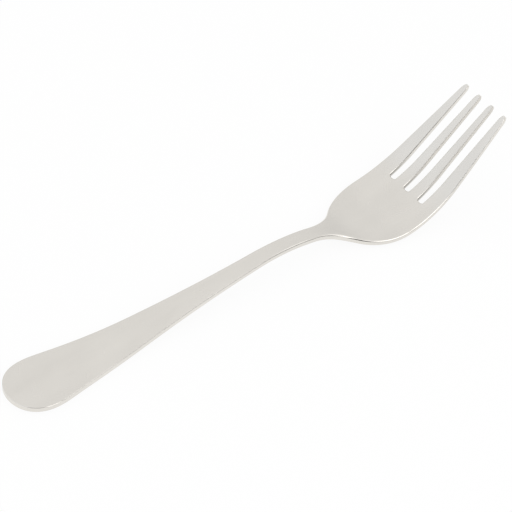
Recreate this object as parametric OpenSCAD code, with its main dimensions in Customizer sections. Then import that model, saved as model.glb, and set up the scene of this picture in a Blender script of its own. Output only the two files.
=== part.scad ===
// Dessert fork, one piece of stainless steel sheet.
// It is drawn the way it is made. A flat blank is laid out in the plane of length s, measured from the
// handle end, and width y. The blank is slotted into four tines, graded in thickness and eased at its edges.
// Every point is then carried onto the bent centre line of the fork, with the hollow side up, the tines
// towards +X and the fork lying on the plane z = 0. The origin is under the middle of its length.

/* [Blank: handle] */
// Width of the handle where its end round begins
handle_w = 19; // [14:0.5:26]
// Length of the round at the handle end
end_round = 16; // [10:0.5:24]
// Squareness of the end round, 2 being an ellipse
end_power = 2.3; // [2:0.1:3]
// Width across the neck
neck_w = 5.2; // [3.5:0.1:8]
// Length from the handle end to the neck
handle_len = 104; // [90:1:130]
// Length of the neck that keeps one width
neck_len = 8; // [2:1:16]

/* [Blank: head] */
// Greatest width across the head
head_w = 27; // [22:0.5:32]
// Radius of the hollow where the neck opens out
hollow_r = 19; // [12:1:30]
// Radius of the shoulder
shoulder_r = 25; // [12:1:30]
// Length of solid metal from the widest place to the slots
bowl_len = 9.3; // [6:0.1:16]
// Length of the slots
slot_len = 37.2; // [30:0.1:46]
// Width of a slot just beyond its root
slot_w = 2.5; // [2:0.1:3.4]
// Depth of the flattened round at a slot's root
root_depth = 0.6; // [0.4:0.05:1.4]
// Distance between slots at their roots
root_pitch = 6.6; // [6:0.1:7.5]
// Distance between the tines at their tips
tip_pitch = 5.8; // [5.2:0.1:6.8]
// Width of a tine at its tip
tip_w = 1.8; // [1.4:0.1:2.2]
// Length that is ground off the tips
tip_stock = 0.06; // [0.03:0.01:0.2]
// Length of the round at a tip
tip_round = 2.2; // [0.6:0.1:4]
// Length of the outer tine edge that runs straight
side_straight = 24; // [14:1:30]

/* [Bend] */
// Length at the handle end that lies flat
tail_len = 24; // [18:1:30]
// Length of the bend that lifts the handle
rise_len = 22; // [14:1:28]
// Slope of the handle
handle_slope = 6.5; // [4:0.1:8]
// Length of the bend over the neck
crown_len = 31; // [26:1:38]
// Length of the bend under the head
heel_len = 40; // [34:1:46]
// Slope of the tines
tine_slope = 40; // [30:0.5:44]
// Rise of the head's edges above its middle
dish = 0.5; // [0:0.1:1.2]
// Gap under the head while the tail lies flat, so that the fork rests on three points and cannot rock
heel_gap = 0.2; // [0:0.05:0.4]

/* [Thickness] */
// Thickness of the handle
handle_t = 1.8; // [1.5:0.1:3]
// Thickness of the neck
neck_t = 2; // [1.5:0.1:3.5]
// Thickness of the head
head_t = 1.9; // [1.4:0.1:2.5]
// Thickness of the tips
tip_t = 1.4; // [1:0.1:2]

/* [Eased edges] */
// Radius of the outer edges along the flat tail
handle_edge = 0.25; // [0.1:0.05:0.6]
// Radius of the outer edges from the neck to the slots
head_edge = 0.65; // [0.2:0.05:0.65]
// Radius of the slots' edges at their roots
slot_edge = 0.4; // [0.15:0.05:0.5]
// Radius of all edges at the tips
tip_edge = 0.25; // [0.1:0.05:0.4]

/* [Hidden] */
tines = 4;
steel = [0.85, 0.84, 0.82];

// Places in the quarter round of an eased edge, as shares of its radius from the edge
eased = [1 - cos(30), 1 - cos(60), 1];
// Distance from the very end of the handle to the first line across the blank
first_line = 0.05;
// Steps round the handle end and round a slot's root, and turns round a tip
round_steps = 9;
root_steps = 5;
nose_turns = [20, 38, 52, 64, 74];
// Longest step between lines elsewhere, in the flat and in the curves
flat_step = 6;
curve_step = 2.4;
// Largest share of a tine's width that one eased edge may take
edge_share = 0.4;
// The steepest neck that is tried, and how often the search for the right one halves the range
steepest_neck = 60;
halvings = 40;
// A length too small to matter
tiny = 0.0005;

// Places along the blank. The shoulder is an S of two arcs that turn through the same angle.
neck_end = handle_len + neck_len;
shoulder_turn = acos(1 - (head_w - neck_w) / 2 / (hollow_r + shoulder_r));
hollow_end = neck_end + hollow_r * sin(shoulder_turn);
widest = neck_end + (hollow_r + shoulder_r) * sin(shoulder_turn);
slot_root = widest + bowl_len;
before_root = slot_root - slot_edge;
tip = slot_root + slot_len;
// The tines are formed a little long, with round noses, and then ground off square
nose = tip + tip_stock;

// Half width at the tips, and the slope that the outer edges end with
tip_half = (tines - 1) / 2 * tip_pitch + tip_w / 2;
side_curve = tip - side_straight - widest;
side_slope = (head_w / 2 - tip_half) / (side_curve / 2 + side_straight);

function clamp(v, low, high) = max(low, min(high, v));
function mix(a, b, t) = a + (b - a) * t;
function ease(t) = let (c = clamp(t, 0, 1)) c * c * (3 - 2 * c);

// Half width of the handle's sides, a parabola that widens from the neck, before its end is rounded
function handle_half(s) =
    let (t = max(handle_len - s, 0) / (handle_len - end_round))
    mix(neck_w / 2, handle_w / 2, t * t);

// Half width of the blank
function half_width(s) =
    s < end_round ? handle_half(s) * sqrt(1 - pow(1 - s / end_round, end_power)) :
    s < neck_end ? handle_half(s) :
    s < hollow_end ? neck_w / 2 + hollow_r - sqrt(pow(hollow_r, 2) - pow(s - neck_end, 2)) :
    s < widest ? head_w / 2 - shoulder_r + sqrt(pow(shoulder_r, 2) - pow(widest - s, 2)) :
    s < widest + side_curve ? head_w / 2 - side_slope * pow(s - widest, 2) / (2 * side_curve) :
    head_w / 2 - side_slope * (s - widest - side_curve / 2);

// How steeply the outline opens or closes
function outline_slope(s) = (half_width(s + first_line / 2) - half_width(s - first_line / 2)) / first_line;

// Length from a point of the end round to the outline straight behind it
function to_end(s, y) =
    let (across = clamp(abs(y) / handle_half(s), 0, 1))
    s - end_round * (1 - pow(1 - across * across, 1 / end_power));

// Half width of a slot drawn larger all round by a margin: half an ellipse at its root, then an even taper
function slot_half(s, margin = 0) =
    let (half = slot_w / 2, d = s - slot_root)
    let (share = min((root_depth - d) / (root_depth + margin), 1))
    d < root_depth ? (half + margin) * sqrt(1 - share * share) :
    mix(half, (tip_pitch - tip_w) / 2, (d - root_depth) / (slot_len - root_depth)) + margin;

// How far the lines along the fork have drawn in to the slots: 0 up to the widest place, 1 at the roots
function drawn_in(s) = ease((s - widest) / (before_root - widest));

// Place of the slot that follows tine j. Up to the head the slot lines share out the width evenly.
function slot_line(s, j) =
    let (k = j - tines / 2 + 1)
    let (before = mix(half_width(s) * 2 / tines, root_pitch, drawn_in(s)))
    let (after = mix(root_pitch, tip_pitch, clamp((s - slot_root) / slot_len, 0, 1)))
    k * (s < slot_root ? before : after);

// How far the sides of a tip have drawn in, on half an ellipse
function tip_draw(s) =
    let (share = clamp(1 - (nose - s) / tip_round, 0, 1))
    tip_w / 2 * (1 - sqrt(1 - share * share));

// Lower and upper edge of tine j, which meet their neighbours where there is no slot
function tine_edges(s, j) = [
    (j == 0 ? -half_width(s) : slot_line(s, j - 1) + slot_half(s)) + tip_draw(s),
    (j == tines - 1 ? half_width(s) : slot_line(s, j) - slot_half(s)) - tip_draw(s)
];

// Distance in the flat blank from a point to the outer edge
function to_side(s, y) =
    let (across = max(half_width(s) - tip_draw(s) - abs(y), 0))
    let (along = max(to_end(s, y), 0))
    s < end_round ? across * along / max(norm([across, along]), tiny) :
    across * cos(atan(outline_slope(s)));

// Distance to the slot that follows tine j. At its root this is the size of the ellipse through the point,
// less the size of the root, divided by how fast the size grows there.
function to_slot(s, y, j) =
    let (half = slot_w / 2, back = slot_root + root_depth - s, across = abs(y - slot_line(s, j)))
    let (size = norm([back / root_depth, across / half]))
    let (growth = norm([back / pow(root_depth, 2), across / pow(half, 2)]))
    s < slot_root + root_depth ? (size - 1) * size / max(growth, tiny) :
        across - slot_half(s) - tip_draw(s);

// Radius of the outer edges and of the slots' edges along the blank
function towards_tips(s) = ease((s - slot_root) / slot_len);
function side_edge(s) =
    let (grown = mix(handle_edge, head_edge, ease((s - tail_len) / (handle_len - tail_len))))
    mix(grown, tip_edge, towards_tips(s));
function inner_edge(s) = mix(slot_edge, tip_edge, towards_tips(s));

// How far a quarter round of radius r has fallen at a distance from its edge
function fall(distance, r) =
    let (d = clamp(r - distance, 0, r))
    r - sqrt(r * r - d * d);

// Thickness along the blank, and half of it less the deepest fall towards an edge
thickness_at = [
    [0, handle_t], [tail_len, handle_t], [handle_len + neck_len / 2, neck_t], [widest, head_t], [tip, tip_t]
];
function thickness(s) = lookup(s, thickness_at);
function half_thickness(s, y) =
    thickness(s) / 2 - max([
        fall(to_side(s, y), side_edge(s)),
        fall(nose - s, tip_edge),
        for (j = [0 : tines - 2]) fall(to_slot(s, y, j), inner_edge(s))
    ]);

// The bends along the centre line: [length, slope at its start, slope at its end].
// The bend under the head is centred on its widest place, and the bend over the neck runs into it.
heel_start = widest - heel_len / 2;
run_len = heel_start - crown_len - rise_len - tail_len;
function bends(neck_slope) = [
    [tail_len, 0, 0],
    [rise_len, 0, handle_slope],
    [run_len, handle_slope, handle_slope],
    [crown_len, handle_slope, -neck_slope],
    [heel_len, -neck_slope, tine_slope],
    [tip - heel_start - heel_len, tine_slope, tine_slope]
];

// Step in x and z along an arc that turns from slope a to slope b
function arc_step(l, a, b) =
    abs(b - a) < tiny ? l * [cos(a), sin(a)] :
    l / ((b - a) * PI / 180) * [sin(b) - sin(a), cos(a) - cos(b)];

// Point of the centre line and its slope: [x, z, slope]
function centre_line(s, chain, i = 0, at = [0, 0]) =
    let (b = chain[i])
    s > b[0] && i < len(chain) - 1 ?
        centre_line(s - b[0], chain, i + 1, at + arc_step(b[0], b[1], b[2])) :
        let (slope = mix(b[1], b[2], s / b[0]), p = at + arc_step(s, b[1], slope))
        [p[0], p[1], slope];

// The slope of the neck is the one that brings the underside of the head down to its gap above the tail
function heel_height(neck_slope) =
    let (low = heel_start + heel_len * neck_slope / (neck_slope + tine_slope))
    centre_line(low, bends(neck_slope))[1] + (handle_t - thickness(low)) / 2;
function settle(low, high, steps) =
    let (middle = (low + high) / 2)
    steps == 0 ? middle :
    heel_height(middle) > heel_gap ? settle(middle, high, steps - 1) : settle(low, middle, steps - 1);
chain = bends(settle(0, steepest_neck, halvings));
tip_at = centre_line(tip, chain);
tip_reach = tip_at[0] + half_thickness(tip, tip_pitch / 2) * sin(tine_slope);
middle_x = (first_line + tip_reach) / 2;

// Carries a point of the flat blank onto the bent and dished fork. side is 1 on top and -1 underneath.
function formed(s, y, side) =
    let (c = centre_line(s, chain))
    let (fade = ease((s - neck_end) / (widest - neck_end)) * (1 - ease((s - slot_root) / slot_len)))
    let (rise = side * half_thickness(s, y) + dish * fade * pow(2 * y / head_w, 2))
    [c[0] - middle_x - rise * sin(c[2]), y, c[1] + handle_t / 2 + rise * cos(c[2])];

// Lengths at which the blank is sampled, closer where it curves
function even(a, b, step) = let (n = ceil((b - a) / step)) [for (i = [1 : n]) mix(a, b, i / n)];
end_lines = [for (i = [1 : round_steps]) end_round * (1 - cos(90 * i / round_steps))];
solid_lines = concat(
    [first_line],
    end_lines,
    even(end_round, tail_len, flat_step),
    even(tail_len, heel_start - crown_len, flat_step),
    even(heel_start - crown_len, before_root, curve_step),
    [slot_root - slot_edge * eased[1], slot_root - slot_edge * eased[0], slot_root]
);
slot_lines = concat(
    [for (i = [1 : root_steps]) slot_root + root_depth * (1 - cos(90 * i / root_steps))],
    even(slot_root + root_depth, heel_start + heel_len, curve_step),
    even(heel_start + heel_len, nose - tip_round, flat_step),
    [for (a = nose_turns) mix(nose - tip_round, tip, sin(a))],
    [tip + tip_stock / 3]
);
lines = concat(solid_lines, slot_lines);
last_solid = len(solid_lines) - 1;

// Points across a tine: its edges, some on each eased edge, and its middle.
// Where there are no slots yet, the points on the slots' side are spread evenly.
last_eased = len(eased) - 1;
columns = 2 * len(eased) + 3;
row = tines * columns;
function side_margin(s, k) = side_edge(s) * eased[k] * norm([1, outline_slope(s)]);
function slot_margin(s, k, w) =
    let (margin = inner_edge(s) * eased[k])
    let (close = max(slot_half(s, margin), slot_half(s) + margin) - slot_half(s))
    mix(w * (k + 1) / (columns - 1), close, drawn_in(s));
function tine_points(s, j) =
    let (e = tine_edges(s, j), w = e[1] - e[0], most = w * edge_share)
    let (low = [for (k = [0 : last_eased]) j == 0 ? side_margin(s, k) : slot_margin(s, k, w)])
    let (high = [for (k = [0 : last_eased]) j == tines - 1 ? side_margin(s, k) : slot_margin(s, k, w)])
    let (fit_low = min(1, most / low[last_eased]), fit_high = min(1, most / high[last_eased]))
    concat(
        [e[0], for (m = low) e[0] + m * fit_low],
        [(e[0] + e[1]) / 2],
        [for (k = [0 : last_eased]) e[1] - high[last_eased - k] * fit_high],
        [e[1]]
    );
function row_points(s, side) = [for (j = [0 : tines - 1]) for (y = tine_points(s, j)) formed(s, y, side)];
points = [for (s = lines) each concat(row_points(s, 1), row_points(s, -1))];

// Index of column k of tine j at line i, where neighbours share a point up to the slots' roots
function top(i, j, k) =
    let (shared = i <= last_solid && k == 0 && j > 0)
    i * 2 * row + j * columns + (shared ? -1 : k);
function under(i, j, k) = top(i, j, k) + row;
function quad(a, b, c, d) = [[a, b, c], [a, c, d]];

// Faces: the top and the underside, the walls on both sides of every tine, and the ends
all_tines = [0 : tines - 1];
last_line = len(lines) - 1;
last_column = columns - 1;
skin = [for (i = [0 : last_line - 1]) for (j = all_tines) for (k = [0 : last_column - 1]) each concat(
    quad(top(i, j, k), top(i, j, k + 1), top(i + 1, j, k + 1), top(i + 1, j, k)),
    quad(under(i, j, k), under(i + 1, j, k), under(i + 1, j, k + 1), under(i, j, k + 1))
)];
lower_walls = [for (i = [0 : last_line - 1]) for (j = all_tines) if (j == 0 || i >= last_solid)
    each quad(top(i, j, 0), top(i + 1, j, 0), under(i + 1, j, 0), under(i, j, 0))];
upper_walls = [for (i = [0 : last_line - 1]) for (j = all_tines) if (j == tines - 1 || i >= last_solid)
    let (k = last_column)
    each quad(top(i, j, k), under(i, j, k), under(i + 1, j, k), top(i + 1, j, k))];
ends = [for (i = last_line, j = all_tines) for (k = [0 : last_column - 1]) each concat(
    quad(top(0, j, k), under(0, j, k), under(0, j, k + 1), top(0, j, k + 1)),
    quad(top(i, j, k), top(i, j, k + 1), under(i, j, k + 1), under(i, j, k))
)];
faces = concat(skin, lower_walls, upper_walls, ends);

// Everything beyond the tips, square to the tines
module beyond_tips() {
    translate([tip_at[0] - middle_x, 0, tip_at[1] + handle_t / 2])
        rotate([0, -tine_slope, 0])
            translate([0, -head_w, -head_w])
                cube(2 * head_w);
}

// The fork
module fork() {
    color(steel) difference() {
        polyhedron(points, faces, convexity = 8);
        beyond_tips();
    }
}

fork();
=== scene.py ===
# %% [markdown]
# # A dessert fork in polished steel
# The real fork is one strip of stainless steel: cut to an outline, slotted into four tines, rolled thinner
# towards the tips, bent and polished. The measured solid comes in as the frame. It could be shown as it is,
# but a polished surface shows every facet. So the skin is worked out again here from the same sizes, on a
# grid that is much finer, and the solid stays in the background.

import bpy
import numpy as np
from mathutils import Matrix


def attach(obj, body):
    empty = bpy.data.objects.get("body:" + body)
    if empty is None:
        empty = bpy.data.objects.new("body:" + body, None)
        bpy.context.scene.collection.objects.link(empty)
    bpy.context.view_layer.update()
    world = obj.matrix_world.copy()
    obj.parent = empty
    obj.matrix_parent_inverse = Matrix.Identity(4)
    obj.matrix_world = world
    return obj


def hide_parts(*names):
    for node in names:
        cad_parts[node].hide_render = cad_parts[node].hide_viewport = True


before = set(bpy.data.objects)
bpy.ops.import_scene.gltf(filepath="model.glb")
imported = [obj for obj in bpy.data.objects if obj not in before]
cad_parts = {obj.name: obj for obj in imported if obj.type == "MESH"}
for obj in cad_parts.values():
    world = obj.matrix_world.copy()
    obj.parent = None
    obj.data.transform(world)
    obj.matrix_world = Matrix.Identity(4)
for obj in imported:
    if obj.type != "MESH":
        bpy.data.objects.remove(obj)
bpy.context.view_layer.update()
MM = 0.001

# %% [markdown]
# ## The flat blank
# A fork maker first cuts a flat blank. It is laid out here in two lengths, both in millimetres: s runs from
# the handle end to the tips and y runs across. Drawing the bent fork directly would be harder, because the
# outline is simple only while the metal is flat.

# %% Sizes of the handle and the neck
handle_w = 19.0
end_round = 16.0
end_power = 2.3
neck_w = 5.2
handle_len = 104.0
neck_len = 8.0
neck_end = handle_len + neck_len
print("the neck runs from", handle_len, "to", neck_end, "mm")

# %% Sizes of the head
head_w = 27.0
hollow_r = 19.0
shoulder_r = 25.0
bowl_len = 9.3
slot_len = 37.2
side_straight = 24.0
shoulder_turn = np.arccos(1 - (head_w - neck_w) / 2 / (hollow_r + shoulder_r))
hollow_end = neck_end + hollow_r * np.sin(shoulder_turn)
widest = neck_end + (hollow_r + shoulder_r) * np.sin(shoulder_turn)
slot_root = widest + bowl_len
tip = slot_root + slot_len
print("widest at %.1f, slots from %.1f, tips at %.1f mm" % (widest, slot_root, tip))

# %% Sizes of the tines
tines = 4
slot_w = 2.5
root_depth = 0.6
root_pitch = 6.6
tip_pitch = 5.8
tip_w = 1.8
tip_stock = 0.06
tip_round = 2.2
nose = tip + tip_stock
tip_half = (tines - 1) / 2 * tip_pitch + tip_w / 2
side_curve = tip - side_straight - widest
side_slope = (head_w / 2 - tip_half) / (side_curve / 2 + side_straight)
print("four tips share a width of %.1f mm" % (2 * tip_half))

# %% The outline


def mix(a, b, t):
    """The value that lies the share t of the way from a to b."""
    return a + (b - a) * t


def ease(t):
    """A share that starts and ends gently: three times its square less twice its cube, kept from 0 to 1."""
    t = np.clip(t, 0, 1)
    return t * t * (3 - 2 * t)


def handle_half(s):
    """Half the handle's width before its end is rounded: a parabola that widens from the neck."""
    t = np.maximum(handle_len - s, 0) / (handle_len - end_round)
    return mix(neck_w / 2, handle_w / 2, t * t)


def half_width(s):
    """Half the width of the blank at length s. In turn it is a superellipse on the handle's parabola, the
    parabola itself, the even neck, a hollow arc, a shoulder arc, a parabola and a straight run."""
    handle = handle_half(s) * np.sqrt(1 - np.clip(1 - s / end_round, 0, 1) ** end_power)
    into_hollow = np.clip(s - neck_end, 0, hollow_end - neck_end)
    hollow = neck_w / 2 + hollow_r - np.sqrt(hollow_r**2 - into_hollow**2)
    to_widest = np.clip(widest - s, 0, widest - hollow_end)
    shoulder = head_w / 2 - shoulder_r + np.sqrt(shoulder_r**2 - to_widest**2)
    past = s - widest
    curved = head_w / 2 - side_slope * past**2 / (2 * side_curve)
    straight = head_w / 2 - side_slope * (past - side_curve / 2)
    places = [s < neck_end, s < hollow_end, s < widest, past < side_curve]
    return np.select(places, [handle, hollow, shoulder, curved], straight)


def outline_slope(s):
    """How steeply the outline opens or closes, from two widths a small step apart."""
    step = 0.02
    return (half_width(s + step) - half_width(s - step)) / (2 * step)


print("half widths at 30, 100 and 150 mm:", np.round(half_width(np.array([30.0, 100.0, 150.0])), 2))

# %% The slots
root_ring = 0.64
before_root = slot_root - root_ring


def drawn_in(s):
    """0 up to the widest place and 1 at the slot roots: how far the lines have drawn in to the slots."""
    return ease((s - widest) / (before_root - widest))


def slot_half(s, margin=0.0):
    """Half the width of a slot drawn larger by a margin: half an ellipse at the root, then an even taper."""
    half = slot_w / 2
    d = s - slot_root
    share = np.clip((root_depth - d) / (root_depth + margin), -1, 1)
    root = (half + margin) * np.sqrt(1 - share**2)
    taper = mix(half, (tip_pitch - tip_w) / 2, (d - root_depth) / (slot_len - root_depth)) + margin
    return np.where(d < root_depth, root, taper)


def slot_line(s, j):
    """Middle of the slot after tine j. Up to the head the slot lines share out the width evenly."""
    k = j - tines / 2 + 1
    before = mix(half_width(s) * 2 / tines, root_pitch, drawn_in(s))
    after = mix(root_pitch, tip_pitch, np.clip((s - slot_root) / slot_len, 0, 1))
    return k * np.where(s < slot_root, before, after)


def tip_draw(s):
    """How far the sides of a tip have drawn in, on half an ellipse as long as the tip's round."""
    share = np.clip(1 - (nose - s) / tip_round, 0, 1)
    return tip_w / 2 * (1 - np.sqrt(1 - share**2))


def tine_edges(s, j):
    """Lower and upper edge of tine j. Where there is no slot yet, neighbours meet on the slot line."""
    low = -half_width(s) if j == 0 else slot_line(s, j - 1) + slot_half(s)
    high = half_width(s) if j == tines - 1 else slot_line(s, j) - slot_half(s)
    return low + tip_draw(s), high - tip_draw(s)


print("slot width at the root and the tips: %.1f and %.1f mm" % (slot_w, 2 * slot_half(tip)))

# %% [markdown]
# ## Thickness and eased edges
# The strip is rolled, so the neck is the thickest place and the tips are the thinnest. Polishing breaks every
# edge: hardly on the handle, more along the head, where the rim catches the light. A Bevel modifier would
# need the finished mesh and gives one width. The distance to the edge gives a width that changes along the
# fork.

# %% Thickness
tail_len = 24.0
handle_t = 1.8
neck_t = 2.0
head_t = 1.9
tip_t = 1.4


def thickness(s):
    """Thickness of the strip, straight between five places along it."""
    places = [0.0, tail_len, handle_len + neck_len / 2, widest, tip]
    return np.interp(s, places, [handle_t, handle_t, neck_t, head_t, tip_t])


print("thickness at the tail, neck, head and tips:", handle_t, neck_t, head_t, tip_t)

# %% Eased edges
handle_edge = 0.25
head_edge = 0.65
slot_edge = 0.4
tip_edge = 0.25
nothing = 1e-6


def towards_tips(s):
    """0 up to the slot roots and 1 at the tips, started and ended gently."""
    return ease((s - slot_root) / slot_len)


def side_edge(s):
    """Width of the eased outer edge: narrow on the tail, wide from the neck on, narrow again at the tips."""
    grow = ease((s - tail_len) / (handle_len - tail_len))
    return mix(mix(handle_edge, head_edge, grow), tip_edge, towards_tips(s))


def inner_edge(s):
    """Width of the eased edges of the slots, which narrows towards the tips."""
    return mix(slot_edge, tip_edge, towards_tips(s))


def to_side(s, y):
    """Distance to the outer edge in the flat blank. In the end round it is the height of the right triangle
    whose short sides run straight across and straight along to the outline."""
    across = np.maximum(half_width(s) - tip_draw(s) - np.abs(y), 0)
    share = np.clip(np.abs(y) / handle_half(s), 0, 1)
    along = np.maximum(s - end_round * (1 - (1 - share**2) ** (1 / end_power)), 0)
    at_end = across * along / np.maximum(np.hypot(across, along), nothing)
    return np.where(s < end_round, at_end, across / np.hypot(1, outline_slope(s)))


def to_slot(s, y, j):
    """Distance to the slot after tine j. At the root it is the size of the ellipse through the point, less
    the root's own, over how fast that grows there. Beyond the root it is measured straight across."""
    half = slot_w / 2
    back = slot_root + root_depth - s
    across = np.abs(y - slot_line(s, j))
    size = np.hypot(back / root_depth, across / half)
    growth = np.hypot(back / root_depth**2, across / half**2) / np.maximum(size, nothing)
    root = (size - 1) / np.maximum(growth, nothing)
    return np.where(s < slot_root + root_depth, root, across - slot_half(s) - tip_draw(s))


def drop(distance, width):
    """How far the surface falls at a distance from an edge: a quarter circle of the edge's width."""
    d = np.clip(width - distance, 0, width)
    return width - np.sqrt(width**2 - d**2)


def half_thickness(s, y):
    """Half the thickness, less the deepest of the falls towards the side, the slots and the nose."""
    falls = [drop(to_side(s, y), side_edge(s)), drop(nose - s + 0 * y, tip_edge)]
    falls += [drop(to_slot(s, y, j), inner_edge(s)) for j in range(tines - 1)]
    return thickness(s) / 2 - np.max(falls, axis=0)


def to_edge(s, y):
    """Distance to the nearest edge of any kind, for the finish."""
    near = [to_side(s, y), nose - s + 0 * y] + [to_slot(s, y, j) for j in range(tines - 1)]
    return np.maximum(np.min(near, axis=0), 0)


print("eased edges: handle %.2f, head %.2f, slots %.2f mm" % (handle_edge, head_edge, slot_edge))

# %% [markdown]
# ## Bending the fork
# The blank is bent in a press. Seen from the side, its middle line is a chain of bends: a flat tail, a slight
# rise, a straight handle, a crown over the neck, the heel under the head and straight tines. Each bend turns
# evenly, so it is an arc, and the chord of an arc is known exactly. A curve object with a modifier would do
# this too, but not so exactly that the skin meets the solid.

# %% Sizes of the bends, slopes in degrees
rise_len = 22.0
handle_slope = 6.5
crown_len = 31.0
heel_len = 40.0
tine_slope = 40.0
dish = 0.5
heel_gap = 0.2
heel_start = widest - heel_len / 2
run_len = heel_start - crown_len - rise_len - tail_len
lengths = np.array([tail_len, rise_len, run_len, crown_len, heel_len, tip - heel_start - heel_len])
knots = np.concatenate([[0], np.cumsum(lengths)])
print("bends start at", np.round(knots[:-1], 1), "mm")

# %% The centre line


def chord(length, a, b):
    """Step in x and z along an arc that turns evenly from slope a to b: its length times sin(h) / h, where h
    is half the turn, in the direction of the middle slope."""
    reach = length * np.sinc((b - a) / 2 / np.pi)
    return reach * np.cos((a + b) / 2), reach * np.sin((a + b) / 2)


def centre_line(s, neck_slope):
    """x, z and slope of the middle of the strip at length s, with the neck sloping down by neck_slope."""
    slopes = np.radians([0, 0, handle_slope, handle_slope, -neck_slope, tine_slope, tine_slope])
    steps = chord(lengths, slopes[:-1], slopes[1:])
    start_x, start_z = (np.concatenate([[0], np.cumsum(v)]) for v in steps)
    i = np.clip(np.searchsorted(knots, s, side="right") - 1, 0, len(lengths) - 1)
    into = s - knots[i]
    slope = mix(slopes[i], slopes[i + 1], into / lengths[i])
    x, z = chord(into, slopes[i], slope)
    return start_x[i] + x, start_z[i] + z, slope


def heel_height(neck_slope):
    """Height of the underside at the lowest place of the heel, over the underside of the tail."""
    low = heel_start + heel_len * neck_slope / (neck_slope + tine_slope)
    return centre_line(low, neck_slope)[1] + (handle_t - thickness(low)) / 2


shallow, steep = 0.0, 60.0
halvings = 40
for _ in range(halvings):
    neck_slope = (shallow + steep) / 2
    if heel_height(neck_slope) > heel_gap:
        shallow = neck_slope
    else:
        steep = neck_slope
print("the neck slopes down by %.2f degrees" % neck_slope)

# %% From the blank to the fork
first_line = 0.05
tip_x = centre_line(tip, neck_slope)[0]
tip_reach = tip_x + half_thickness(np.array(tip), np.array(tip_pitch / 2)) * np.sin(np.radians(tine_slope))
middle_x = (first_line + tip_reach) / 2


def formed(s, y, height):
    """Carries a point of the blank to its place in metres. The height above the middle of the strip, and the
    dish of the head, which grows with the square of y, both run square to the centre line."""
    x, z, slope = centre_line(s, neck_slope)
    fade = ease((s - neck_end) / (widest - neck_end)) * (1 - ease((s - slot_root) / slot_len))
    rise = height + dish * fade * (2 * y / head_w) ** 2
    place = [x - middle_x - rise * np.sin(slope), y + 0 * rise, z + handle_t / 2 + rise * np.cos(slope)]
    return np.stack(np.broadcast_arrays(*place), axis=-1) * MM


print("the tips reach %.2f mm past the middle" % (tip_reach - middle_x))

# %% [markdown]
# ## The grid of the skin
# The skin is a grid: lines across the fork and, in each tine, columns along it. They lie close together where
# the surface turns, at the round end, at the eased edges, round the slot roots and at the tips. An even grid
# would need several million points for the same edges.

# %% Lines across
handle_step = 1.5
bend_step = 0.6
tine_step = 1.0
end_turns = 40
ring_turns = 8
root_turns = 16
tip_turns = 16


def even(a, b, step):
    """Even places from a to b, without a, no further apart than a step."""
    return np.linspace(a, b, int(np.ceil((b - a) / step)) + 1)[1:]


def quarter(turns):
    """Angles in even turns up to a right angle, without 0."""
    return np.linspace(0, np.pi / 2, turns + 1)[1:]


solid_lines = np.concatenate([
    [first_line],
    mix(first_line, end_round, 1 - np.cos(quarter(end_turns))),
    even(end_round, heel_start - crown_len, handle_step),
    even(heel_start - crown_len, before_root, bend_step),
    mix(before_root, slot_root, np.sin(quarter(ring_turns))),
])
slot_lines = np.concatenate([
    slot_root + root_depth * (1 - np.cos(quarter(root_turns))),
    even(slot_root + root_depth, heel_start + heel_len, bend_step),
    even(heel_start + heel_len, nose - tip_round, tine_step),
    mix(nose - tip_round, tip, np.sin(quarter(tip_turns))),
])
lines = np.concatenate([solid_lines, slot_lines])
last_solid = len(solid_lines) - 1
print(len(lines), "lines across, of which", len(slot_lines), "are in the tines")

# %% Columns along
edge_turns = 7
flat_share = 1.6
edge_shares = np.concatenate([[0], 1 - np.cos(quarter(edge_turns)), [flat_share]])
edge_columns = len(edge_shares)
middle_columns = 7
columns = 2 * edge_columns + middle_columns
largest_share = 0.4


def margins(s, width, at_slot):
    """Distances from one edge of a tine to its columns, for lines s. Beside a slot they are even shares of
    the width before the slot begins, and draw in to rings round its root."""
    if at_slot:
        evenly = width * np.arange(edge_columns) / (columns - 1)
        ring = inner_edge(s) * edge_shares
        rings = np.maximum(slot_half(s, ring), slot_half(s) + ring) - slot_half(s)
        found = mix(evenly, rings, drawn_in(s))
    else:
        found = side_edge(s) * edge_shares * np.hypot(1, outline_slope(s))
    return found * np.minimum(1, largest_share * width / np.maximum(found[:, -1:], nothing))


def tine_columns(j):
    """y of every column of tine j at every line: its lower edge, its middle and its upper edge."""
    s = lines[:, None]
    low, high = tine_edges(s, j)
    lower = low + margins(s, high - low, j > 0)
    upper = (high - margins(s, high - low, j < tines - 1))[:, ::-1]
    share = np.linspace(0, 1, middle_columns + 2)[1:-1]
    middle = mix(lower[:, -1:], upper[:, :1], share)
    return np.concatenate([lower, middle, upper], axis=1)


across = np.stack([tine_columns(j) for j in range(tines)], axis=1)
along = np.broadcast_to(lines[:, None, None], across.shape)
print("columns of y:", across.shape)

# %% Points of the skin
height = half_thickness(along, across)
top_points = formed(along, across, height)
under_points = formed(along, across, -height)
points = np.concatenate([top_points.reshape(-1, 3), under_points.reshape(-1, 3)])
print(len(points), "points worked out")

# %% Faces of the skin
top = np.arange(across.size).reshape(across.shape)
top[: last_solid + 1, 1:, 0] = top[: last_solid + 1, :-1, -1]
under = top + across.size


def quads(a, b, c, d):
    """Rows of four corners, from four arrays of the same shape."""
    return np.stack([a, b, c, d], axis=-1).reshape(-1, 4)


def between(low, high):
    """Faces that close the gap between two rows of points of the same length, from low to high."""
    return quads(low[:-1], high[:-1], high[1:], low[1:])


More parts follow.
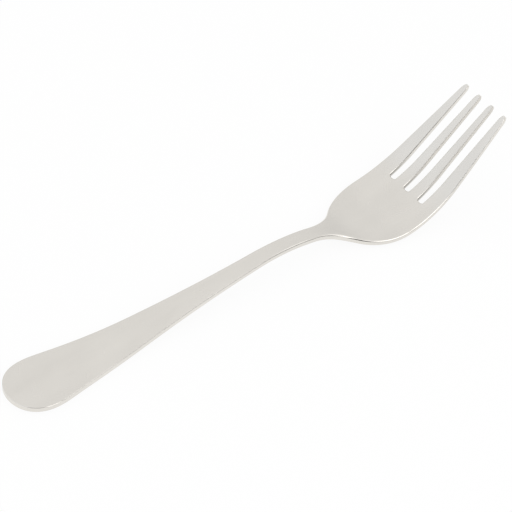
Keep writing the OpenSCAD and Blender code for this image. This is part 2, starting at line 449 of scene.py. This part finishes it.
skin = [
    quads(top[:-1, :, :-1], top[1:, :, :-1], top[1:, :, 1:], top[:-1, :, 1:]),
    quads(under[:-1, :, :-1], under[:-1, :, 1:], under[1:, :, 1:], under[1:, :, :-1]),
]
walls = []
for j in range(tines):
    first = 0 if j == 0 else last_solid
    last = 0 if j == tines - 1 else last_solid
    walls.append(between(top[first:, j, 0], under[first:, j, 0]))
    walls.append(between(under[last:, j, -1], top[last:, j, -1]))
ends = [between(under[0].ravel(), top[0].ravel())]
ends += [between(top[-1, j], under[-1, j]) for j in range(tines)]
faces = np.concatenate(skin + walls + ends)
flat_faces = sum(len(e) for e in ends)
print(len(faces), "faces, of which", flat_faces, "are ground flat")

# %% The fork's mesh
distinct = (faces != np.roll(faces, 1, axis=1)).all(axis=1)
ground = (np.arange(len(faces)) >= len(faces) - flat_faces)[distinct]
used, corners = np.unique(faces[distinct], return_inverse=True)
corners = corners.reshape(-1, 4)
mesh = bpy.data.meshes.new("fork_skin")
mesh.from_pydata(points[used].tolist(), [], corners.tolist())
mesh.polygons.foreach_set("use_smooth", ~ground)
mesh.update()
print("mesh valid:", not mesh.validate(), "triangles:", 2 * len(corners))

# %% Check that the skin is closed and faces outwards
fan = points[used][corners]
volume = sum(np.einsum("ij,ij->i", fan[:, 0], np.cross(fan[:, k], fan[:, k + 1])).sum() / 6 for k in (1, 2))
pairs = np.stack([corners, np.roll(corners, -1, axis=1)], axis=-1).reshape(-1, 2)
_, shared = np.unique(np.sort(pairs, axis=1), axis=0, return_counts=True)
print("volume %.1f mm3, edges that do not join two faces: %d" % (volume / MM**3, (shared != 2).sum()))

# %% Put the skin in the place of the solid
fork = bpy.data.objects.new("fork_skin", mesh)
bpy.context.scene.collection.objects.link(fork)
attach(fork, "root")
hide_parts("fork")
print("the skin rides on the root and stands in for the solid fork")

# %% [markdown]
# ## Where the finish and the painted shade change
# Near the slot roots a dark band is painted into the colour below the upper edge of the slot walls, fading
# out 12 mm past the roots. It is painted shade, for the shadowed paper under the head that these walls
# mirror there, and the band is also rougher. Further out a belt has brushed the slots' edges, least on the
# last tine, so they mirror less sharply. Masks could be painted as images, but the distance of each point to
# a slot is already known. So the masks are attributes: numbers that the mesh carries for each of its points
# and that a material can read. One more attribute, laid_flat, gives each point's place in the flat blank.

# %% Painted shade with dull bands at the slot roots, and brushed edges
band_len = 12.0
at_edge = 0.001
brushed_tines = np.array([1.0, 1.0, 1.0, 0.4])
slot_distance = np.min([to_slot(along, across, j) for j in range(tines - 1)], axis=0)
past_root = ease((along - slot_root) / band_len)
# The mask on the next line puts painted shade on the upper edge of the slot walls, fading out band_len past
# the roots; it also makes them rougher.
dull_painted_shade_top = (slot_distance < at_edge) * (1 - past_root)
brushed = (slot_distance < inner_edge(along)) * past_root * brushed_tines[:, None]
print("dull points: %d, brushed points: %d" % ((dull_painted_shade_top > 0).sum(), 2 * (brushed > 0).sum()))

# %% Attributes of the skin


def both_sides(on_top, underneath):
    """One value for each point of the mesh, from the grids of the top and the underside."""
    return np.concatenate([on_top.ravel(), underneath.ravel()])[used]


near_edge = to_edge(along, across)
masks = {
    "edge_distance": both_sides(near_edge, near_edge),
    # painted shade at the slot roots, which is also rougher
    "dull_painted_shade_band": both_sides(dull_painted_shade_top, np.zeros(dull_painted_shade_top.shape)),
    "brushed_edge": both_sides(brushed, brushed),
}
for name, values in masks.items():
    mesh.attributes.new(name, "FLOAT", "POINT").data.foreach_set("value", values)
flat_places = [both_sides(along, along), both_sides(across, across), both_sides(height, -height)]
laid_flat = mesh.attributes.new("laid_flat", "FLOAT_VECTOR", "POINT")
laid_flat.data.foreach_set("vector", np.stack(flat_places, axis=-1).ravel() * MM)
print("attributes:", ", ".join(masks), "and", laid_flat.name)

# %% [markdown]
# ## Polished steel
# The fork is polished bright in long strokes, so under a soft light it looks like an even, slightly warm
# grey. Close up there are fine lines along the metal, a few hairline scratches from use and softly clouded
# patches. An image could carry all this, but it would have to be painted and unwrapped. Noise that is
# stretched along the blank does the same at any size. It reads laid_flat, so that the lines follow the bends.

# %% Node helpers


def add_node(tree, kind, **values):
    """Adds a node and sets the inputs that are named, with an underscore for each space."""
    node = tree.nodes.new(kind)
    for name, value in values.items():
        node.inputs[name.replace("_", " ")].default_value = value
    return node


def new_group(name, inputs, outputs):
    """A shader node group with float, vector or colour sockets, and its two end nodes."""
    tree = bpy.data.node_groups.new(name, "ShaderNodeTree")
    for label, kind in inputs:
        tree.interface.new_socket(label, in_out="INPUT", socket_type=kind)
    for label, kind in outputs:
        tree.interface.new_socket(label, in_out="OUTPUT", socket_type=kind)
    return tree, tree.nodes.new("NodeGroupInput"), tree.nodes.new("NodeGroupOutput")


def math_node(tree, operation, a, b):
    """One step of arithmetic on sockets or plain numbers, giving its output."""
    node = tree.nodes.new("ShaderNodeMath")
    node.operation = operation
    for i, v in enumerate((a, b)):
        if isinstance(v, (int, float)):
            node.inputs[i].default_value = v
        else:
            tree.links.new(v, node.inputs[i])
    return node.outputs[0]


def weighted_sum(tree, start, terms):
    """A starting value plus each socket times its weight."""
    total = start
    for socket, weight in terms:
        total = math_node(tree, "ADD", total, math_node(tree, "MULTIPLY", socket, weight))
    return total


def smooth_range(tree, socket, ends, levels):
    """Maps a socket that runs between two ends to two levels, starting and stopping gently."""
    node = add_node(tree, "ShaderNodeMapRange")
    node.interpolation_type = "SMOOTHSTEP"
    for name, value in zip(("From Min", "From Max", "To Min", "To Max"), (*ends, *levels)):
        node.inputs[name].default_value = value
    tree.links.new(socket, node.inputs["Value"])
    return node.outputs["Result"]


def mixed(tree, factor, a, b):
    """A colour between a and b, where a may be a socket."""
    node = tree.nodes.new("ShaderNodeMix")
    node.data_type = "RGBA"
    tree.links.new(factor, node.inputs["Factor"])
    node.inputs["B"].default_value = b
    if isinstance(a, tuple):
        node.inputs["A"].default_value = a
    else:
        tree.links.new(a, node.inputs["A"])
    return node.outputs["Result"]


print("node helpers ready")

# %% Group: polish lines
lines_group, group_in, group_out = new_group(
    "polish_lines",
    [("Blank", "NodeSocketVector"), ("Stretch", "NodeSocketVector"), ("Detail", "NodeSocketFloat")],
    [("Lines", "NodeSocketFloat")],
)
stretched = lines_group.nodes.new("ShaderNodeVectorMath")
stretched.operation = "MULTIPLY"
grain = add_node(lines_group, "ShaderNodeTexNoise", Scale=1.0, Roughness=0.6)
lines_group.links.new(group_in.outputs["Blank"], stretched.inputs[0])
lines_group.links.new(group_in.outputs["Stretch"], stretched.inputs[1])
lines_group.links.new(stretched.outputs[0], grain.inputs["Vector"])
lines_group.links.new(group_in.outputs["Detail"], grain.inputs["Detail"])
lines_group.links.new(grain.outputs["Fac"], group_out.inputs["Lines"])
print("group made:", lines_group.name)

# %% Group: hairline scratches
scratch_group, group_in, group_out = new_group(
    "hairline_scratches",
    [("Blank", "NodeSocketVector"), ("Turn", "NodeSocketVector"), ("Stretch", "NodeSocketVector")],
    [("Scratches", "NodeSocketFloat")],
)
turned = scratch_group.nodes.new("ShaderNodeVectorRotate")
turned.rotation_type = "EULER_XYZ"
longer = scratch_group.nodes.new("ShaderNodeVectorMath")
longer.operation = "MULTIPLY"
hairs = add_node(scratch_group, "ShaderNodeTexNoise", Scale=1.0, Detail=1.0)
thin = add_node(scratch_group, "ShaderNodeMapRange", From_Min=0.70, From_Max=0.76)
scratch_group.links.new(group_in.outputs["Blank"], turned.inputs["Vector"])
scratch_group.links.new(group_in.outputs["Turn"], turned.inputs["Rotation"])
scratch_group.links.new(turned.outputs[0], longer.inputs[0])
scratch_group.links.new(group_in.outputs["Stretch"], longer.inputs[1])
scratch_group.links.new(longer.outputs[0], hairs.inputs["Vector"])
scratch_group.links.new(hairs.outputs["Fac"], thin.inputs["Value"])
scratch_group.links.new(thin.outputs["Result"], group_out.inputs["Scratches"])
print("group made:", scratch_group.name)

# %% The steel's patterns
steel = bpy.data.materials.new("polished_steel")
steel.use_nodes = True
tree = steel.node_tree
shader = tree.nodes["Principled BSDF"]
shader.inputs["Metallic"].default_value = 1.0


def attribute(name):
    """The node that reads an attribute of the skin."""
    node = tree.nodes.new("ShaderNodeAttribute")
    node.attribute_name = name
    return node


blank_at = attribute("laid_flat")


def place_group(group, **values):
    """Puts a group into the steel with its own values and the blank's coordinates."""
    node = tree.nodes.new("ShaderNodeGroup")
    node.node_tree = group
    for name, value in values.items():
        node.inputs[name].default_value = value
    tree.links.new(blank_at.outputs["Vector"], node.inputs["Blank"])
    return node.outputs[0]


long_lines = place_group(lines_group, Stretch=(60.0, 4200.0, 900.0), Detail=2.0)
fine_lines = place_group(lines_group, Stretch=(240.0, 11000.0, 3000.0), Detail=1.0)
clouds = place_group(lines_group, Stretch=(45.0, 110.0, 110.0), Detail=3.0)
scratches = place_group(scratch_group, Turn=(0.0, 0.0, 0.35), Stretch=(55.0, 2600.0, 300.0))
cross_scratches = place_group(scratch_group, Turn=(0.0, 0.0, -0.9), Stretch=(80.0, 2900.0, 300.0))
rim = smooth_range(tree, attribute("edge_distance").outputs["Fac"], ends=(0.15, 0.9), levels=(1.0, 0.0))
# The band of painted shade at the slot roots, which is also rougher
dull_painted_shade = attribute("dull_painted_shade_band").outputs["Fac"]
satin = attribute("brushed_edge").outputs["Fac"]
all_scratches = math_node(tree, "MAXIMUM", scratches, cross_scratches)
print("patterns placed:", len(tree.nodes), "nodes")

# %% Colour, gloss and relief of the steel
darker_steel = (0.750, 0.724, 0.679, 1.0)
lighter_steel = (0.792, 0.765, 0.718, 1.0)
# A dark grey painted into the slot walls near the roots: painted shade for the shadowed paper they mirror
painted_shade_grey = (0.200, 0.195, 0.185, 1.0)
tones = weighted_sum(tree, 0.0, [(clouds, 0.7), (long_lines, 0.3)])
tone = smooth_range(tree, tones, ends=(0.3, 0.7), levels=(0.0, 1.0))
polished = mixed(tree, tone, darker_steel, lighter_steel)
# The painted shade darkens the polished colour at the slot roots
tree.links.new(mixed(tree, dull_painted_shade, polished, painted_shade_grey), shader.inputs["Base Color"])
plain_roughness = 0.13
added = [(long_lines, 0.10), (clouds, 0.06), (all_scratches, 0.09), (dull_painted_shade, 0.15), (satin, 0.4), (rim, -0.05)]
tree.links.new(weighted_sum(tree, plain_roughness, added), shader.inputs["Roughness"])
relief = weighted_sum(tree, 0.0, [(fine_lines, 1.0), (all_scratches, -0.4)])
bump = add_node(tree, "ShaderNodeBump", Strength=0.05, Distance=0.00003)
tree.links.new(relief, bump.inputs["Height"])
tree.links.new(bump.outputs["Normal"], shader.inputs["Normal"])
mesh.materials.append(steel)
print("steel finished:", len(tree.nodes), "nodes")

# %% [markdown]
# ## The table and the light
# The fork lies on white paper in a bright room, so the metal mirrors white almost everywhere. A soft lamp in
# front lights up the rim of the head. What a mirror sees of the room is darker in front and along the
# horizon, though not at the back. The wall past the handle is a little cooler, and the one past the tines a
# little darker. A dark corner on the handle's side of the lamp draws the thin grey lines along the edges, and
# a window on its other side puts a glint on the neck. A lamp alone would leave the polished metal black, and
# an even room would leave it flat.

# %% White paper
paper_half = 3.0
paper_z = -0.0001
paper_mesh = bpy.data.meshes.new("paper")
paper_corners = [(-paper_half, -paper_half, paper_z), (paper_half, -paper_half, paper_z)]
paper_corners += [(paper_half, paper_half, paper_z), (-paper_half, paper_half, paper_z)]
paper_mesh.from_pydata(paper_corners, [], [(0, 1, 2, 3)])
paper = bpy.data.objects.new("paper", paper_mesh)
bpy.context.scene.collection.objects.link(paper)
print("paper laid at", paper_z / MM, "mm")

# %% The white of the paper


def seen_rays(tree):
    """1 for rays from the camera, in mirrors and through glass, and 0 for light that is scattered, with the
    node that tells the rays apart."""
    path = tree.nodes.new("ShaderNodeLightPath")
    mirrored = math_node(tree, "MAXIMUM", path.outputs["Is Glossy Ray"], path.outputs["Is Transmission Ray"])
    return math_node(tree, "MAXIMUM", path.outputs["Is Camera Ray"], mirrored), path


plain_white = (1.0, 1.0, 1.0, 1.0)
shaded_white = (0.9, 0.9, 0.9, 1.0)
white_share = 0.9
paper_white = bpy.data.materials.new("white_paper")
paper_white.use_nodes = True
tree = paper_white.node_tree
tree.nodes.clear()
matt = add_node(tree, "ShaderNodeBsdfDiffuse", Color=shaded_white)
glow = add_node(tree, "ShaderNodeEmission", Color=plain_white, Strength=1.0)
blend = tree.nodes.new("ShaderNodeMixShader")
paper_out = tree.nodes.new("ShaderNodeOutputMaterial")
seen, _ = seen_rays(tree)
tree.links.new(math_node(tree, "MULTIPLY", seen, white_share), blend.inputs["Fac"])
tree.links.new(matt.outputs[0], blend.inputs[1])
tree.links.new(glow.outputs[0], blend.inputs[2])
tree.links.new(blend.outputs[0], paper_out.inputs["Surface"])
paper_mesh.materials.append(paper_white)
print("share of the paper that shows no shadow:", white_share)

# %% The room, by direction
room = bpy.data.worlds.new("bright_room")
bpy.context.scene.world = room
room.use_nodes = True
tree = room.node_tree
tree.nodes.clear()
direction = tree.nodes.new("ShaderNodeTexCoord").outputs["Generated"]
axes = tree.nodes.new("ShaderNodeSeparateXYZ")
tree.links.new(direction, axes.inputs[0])


def patch(turn, rise, ends, levels):
    """Maps the cosine of the angle to a direction, which is given in degrees by its turn from the front
    towards the tines and its rise."""
    turn, rise = np.radians([turn, rise])
    node = tree.nodes.new("ShaderNodeVectorMath")
    node.operation = "DOT_PRODUCT"
    node.inputs[1].default_value = (np.sin(turn) * np.cos(rise), -np.cos(turn) * np.cos(rise), np.sin(rise))
    tree.links.new(direction, node.inputs[0])
    return smooth_range(tree, node.outputs["Value"], ends, levels)


overhead = smooth_range(tree, axes.outputs["Z"], ends=(0.1, 0.55), levels=(0.79, 0.9))
at_horizon = smooth_range(tree, axes.outputs["Y"], ends=(0.0, 0.4), levels=(0.15, 1.25))
# The level starts from at_horizon, which is linked in, and comes to 1 a little higher up
above_horizon = smooth_range(tree, axes.outputs["Z"], ends=(0.0, 0.14), levels=(0.15, 1.0))
tree.links.new(at_horizon, above_horizon.node.inputs["To Min"])
dim_front = smooth_range(tree, axes.outputs["Y"], ends=(-0.45, -0.75), levels=(1.0, 0.66))
past_tines = smooth_range(tree, axes.outputs["X"], ends=(0.3, 0.5), levels=(1.0, 0.975))
past_handle = smooth_range(tree, axes.outputs["X"], ends=(0.0, -0.6), levels=(0.0, 1.0))
dark_corner = patch(-35.0, 15.0, ends=(0.89, 0.93), levels=(1.0, 0.04))
window = patch(58.0, 45.0, ends=(0.974, 0.988), levels=(0.0, 1.7))
print("room laid out:", len(tree.nodes), "nodes")

# %% The room's light
mirrored_level = overhead
for share in (above_horizon, dim_front, past_tines, dark_corner):
    mirrored_level = math_node(tree, "MULTIPLY", mirrored_level, share)
mirrored_level = math_node(tree, "MAXIMUM", mirrored_level, window)
cool_white = (1.030, 1.050, 1.078, 1.0)
mirrored = tree.nodes.new("ShaderNodeBackground")
scattered = add_node(tree, "ShaderNodeBackground", Color=plain_white, Strength=1.0)
blend = tree.nodes.new("ShaderNodeMixShader")
room_out = tree.nodes.new("ShaderNodeOutputWorld")
seen, path = seen_rays(tree)
backdrop = math_node(tree, "MAXIMUM", path.outputs["Is Camera Ray"], mirrored_level)
tree.links.new(mixed(tree, past_handle, plain_white, cool_white), mirrored.inputs["Color"])
tree.links.new(backdrop, mirrored.inputs["Strength"])
tree.links.new(seen, blend.inputs["Fac"])
tree.links.new(scattered.outputs[0], blend.inputs[1])
tree.links.new(mirrored.outputs[0], blend.inputs[2])
tree.links.new(blend.outputs[0], room_out.inputs["Surface"])
print("room lit")

# %% The soft lamp in front


def looking(place, target):
    """Three axes at a place: right, which is level, up, and back, which points away from the target."""
    back = (place - target) / np.linalg.norm(place - target)
    right = np.cross([0.0, 0.0, 1.0], back)
    right = right / np.linalg.norm(right)
    return right, np.cross(back, right), back


def placed(right, up, back, place):
    """The object matrix with these three axes and this place."""
    turn = np.eye(4)
    turn[:3, :4] = np.stack([right, up, back, place], axis=1)
    return Matrix(turn.tolist())


lamp = bpy.data.lights.new("front_softbox", "AREA")
lamp.shape = "RECTANGLE"
lamp.size = 0.4
lamp.size_y = 0.6
lamp_level = 1.35
lamp.energy = lamp_level * np.pi * lamp.size * lamp.size_y
lamp_place = np.array([0.119, -0.7126, 0.5])
lamp_object = bpy.data.objects.new("front_softbox", lamp)
lamp_object.matrix_world = placed(*looking(lamp_place, np.zeros(3)), lamp_place)
lamp_object.visible_camera = False
bpy.context.scene.collection.objects.link(lamp_object)
print("lamp of %.2f W" % lamp.energy)

# %% [markdown]
# ## The camera
# The photograph looks down on the fork from beyond the handle end. A camera could be turned by eye until the
# picture looks right. Here its angles, distance and scale were found by matching the fork's outline, its
# slots and its tips, which puts most of the edges within a pixel.

# %% The camera
camera_turn, camera_rise, camera_roll = np.radians([-42.110, 44.300, -5.679])
camera_distance = 1.0
pixels_per_mm = 3.3396
image_size = 512
target = np.array([3.155, 3.064, 5.0]) * MM
back = np.array([np.sin(camera_turn) * np.cos(camera_rise), -np.cos(camera_turn) * np.cos(camera_rise),
                 np.sin(camera_rise)])
level = np.array([np.cos(camera_turn), np.sin(camera_turn), 0.0])
upright = np.cross(back, level)
right = level * np.cos(camera_roll) - upright * np.sin(camera_roll)
up = level * np.sin(camera_roll) + upright * np.cos(camera_roll)
camera = bpy.data.cameras.new("camera")
camera.sensor_width = 36.0
camera.lens = pixels_per_mm / MM * camera_distance * camera.sensor_width / image_size
camera.clip_start = 0.01
camera_object = bpy.data.objects.new("camera", camera)
camera_object.matrix_world = placed(right, up, back, target + back * camera_distance)
bpy.context.scene.collection.objects.link(camera_object)
bpy.context.scene.camera = camera_object
bpy.context.scene.view_settings.view_transform = "Standard"
print("camera with a lens of %.1f mm" % camera.lens)
